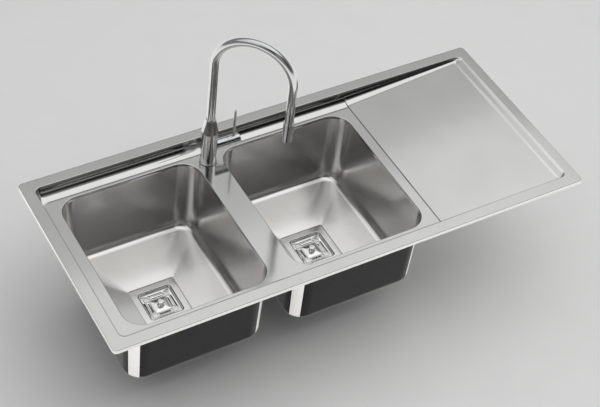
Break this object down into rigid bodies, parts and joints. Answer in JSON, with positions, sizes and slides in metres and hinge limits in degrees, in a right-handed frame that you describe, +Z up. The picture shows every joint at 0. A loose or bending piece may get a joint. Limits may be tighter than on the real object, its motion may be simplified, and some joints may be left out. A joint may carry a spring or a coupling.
{
  "type": "kitchen sink",
  "caption": "Inset stainless kitchen sink with two bowls, a sloping drainer, square strainer wastes and a gooseneck mixer tap with a side lever.",
  "frame": {"origin": "middle of the sink in plan, on the worktop plane under the turned-down lip", "axes": "+X along the length towards the drainer, +Y to the back where the tap stands, +Z up"},
  "size_m": [1.16, 0.5, 0.6831],
  "materials": {
    "satin_steel": "satin",
    "polished_steel": "polished",
    "chrome": "mirror",
    "rubber": "matt",
    "plastic": "matt",
    "brass": "machined"
  },
  "bodies": {
    "sink": {"deck_panel": "satin_steel", "left_bowl": "satin_steel", "right_bowl": "satin_steel", "clip_lugs": "satin_steel", "left_waste_flange": "polished_steel", "left_waste_screw": "polished_steel", "right_waste_flange": "polished_steel", "right_waste_screw": "polished_steel", "clamp_plate": "polished_steel", "tap_base_ring": "chrome", "tap_body": "chrome", "rim_seal": "rubber", "tap_base_seal": "rubber", "clamp_rubber": "rubber", "left_waste_gasket": "rubber", "right_waste_gasket": "rubber", "left_waste_body": "plastic", "right_waste_body": "plastic", "spout_bush": "plastic", "cartridge": "plastic", "tap_shank": "brass", "clamp_nut": "brass", "cartridge_nut": "brass"},
    "spout": {"spout": "chrome", "neck_cone": "chrome", "spout_o_rings": "rubber", "outlet_sleeve": "chrome", "aerator": "plastic"},
    "lever": {"lever_hub": "chrome", "lever_pin": "chrome", "lever_grub_screw": "polished_steel", "cartridge_spindle": "brass"},
    "left_strainer": {"left_strainer_basket": "polished_steel", "left_strainer_knob": "polished_steel", "left_strainer_seal": "rubber"},
    "right_strainer": {"right_strainer_basket": "polished_steel", "right_strainer_knob": "polished_steel", "right_strainer_seal": "rubber"}
  },
  "joints": [
    {"name": "spout_swivel", "type": "hinge", "parent": "sink", "child": "spout", "pos_m": [-0.1565, 0.175, -0.02], "axis": [0, 0, 1], "range_deg": [-115, 35]},
    {"name": "lever_turn", "type": "hinge", "parent": "sink", "child": "lever", "pos_m": [-0.1565, 0.175, 0.024], "axis": [1, 0, 0], "range_deg": [0, 90]},
    {"name": "left_strainer_lift", "type": "slide", "parent": "sink", "child": "left_strainer", "axis": [0, 0, 1], "range_m": [0, 0.25]},
    {"name": "right_strainer_lift", "type": "slide", "parent": "sink", "child": "right_strainer", "axis": [0, 0, 1], "range_m": [0, 0.25]}
  ]
}
